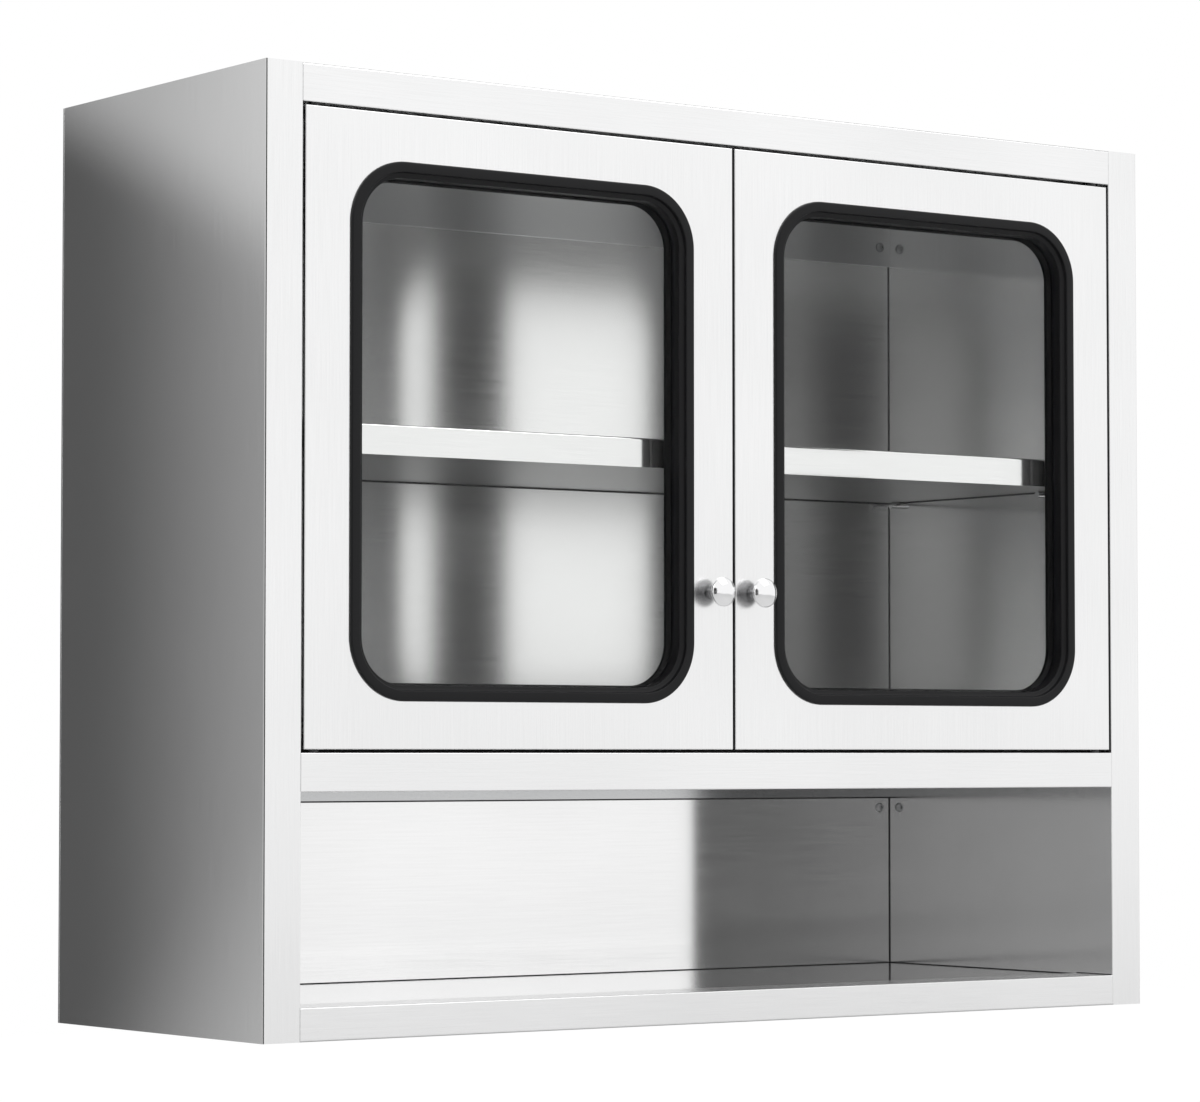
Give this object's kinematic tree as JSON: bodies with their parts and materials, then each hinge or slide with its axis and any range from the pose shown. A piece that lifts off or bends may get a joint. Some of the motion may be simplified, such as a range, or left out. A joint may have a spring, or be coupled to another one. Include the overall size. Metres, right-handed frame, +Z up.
{
  "type": "wall cabinet",
  "caption": "Wall-hung stainless steel cabinet: paired glazed doors with rounded rubber-gasketed windows over a shelf compartment, and an open niche below.",
  "frame": {"origin": "on the wall plane, at the centre of the four wall fixing holes", "axes": "+X to the right seen from the front, +Y towards the wall, +Z up"},
  "size_m": [0.9, 0.34, 0.75],
  "materials": {
    "outer_steel": "brushed",
    "door_steel": "brushed",
    "door_inner_steel": "brushed",
    "inner_steel": "satin",
    "back_steel": "satin",
    "shelf_steel": "satin",
    "rail_steel": "dull",
    "pin_steel": "bright",
    "strike_steel": "satin",
    "knob_steel": "polished",
    "gasket_rubber": "semi-matt",
    "buffer_rubber": "matt",
    "glass": "clear",
    "bush_plastic": "matt",
    "catch_plastic": "plain",
    "magnet": "matt"
  },
  "bodies": {
    "carcass": {"back_panel": "back_steel", "bottom_panel": "outer_steel", "catch_housings": "catch_plastic", "catch_magnets": "magnet", "ceiling_panel": "inner_steel", "deck_floor": "inner_steel", "hanging_rail": "rail_steel", "hinge_pins_left": "pin_steel", "hinge_pins_right": "pin_steel", "inner_back_panel": "inner_steel", "mid_rail": "outer_steel", "niche_ceiling": "inner_steel", "niche_floor": "inner_steel", "niche_strip": "rail_steel", "shelf_pan": "shelf_steel", "shelf_pins": "pin_steel", "shelf_underplate": "shelf_steel", "side_liner_left": "inner_steel", "side_liner_right": "inner_steel", "side_panel_left": "outer_steel", "side_panel_right": "outer_steel", "top_panel": "outer_steel"},
    "left_door": {"left_door_buffers": "buffer_rubber", "left_door_gasket": "gasket_rubber", "left_door_glass": "glass", "left_door_inner_skin": "door_inner_steel", "left_door_knob": "knob_steel", "left_door_outer_skin": "door_steel", "left_door_pivot_bushes": "bush_plastic", "left_door_strike_plate": "strike_steel"},
    "right_door": {"right_door_buffers": "buffer_rubber", "right_door_gasket": "gasket_rubber", "right_door_glass": "glass", "right_door_inner_skin": "door_inner_steel", "right_door_knob": "knob_steel", "right_door_outer_skin": "door_steel", "right_door_pivot_bushes": "bush_plastic", "right_door_strike_plate": "strike_steel"}
  },
  "joints": [
    {"name": "left_door_hinge", "type": "hinge", "parent": "carcass", "child": "left_door", "pos_m": [-0.4025, -0.313, 0], "axis": [0, 0, -1], "range_deg": [0, 110]},
    {"name": "right_door_hinge", "type": "hinge", "parent": "carcass", "child": "right_door", "pos_m": [0.4025, -0.313, 0], "axis": [0, 0, 1], "range_deg": [0, 110]}
  ]
}
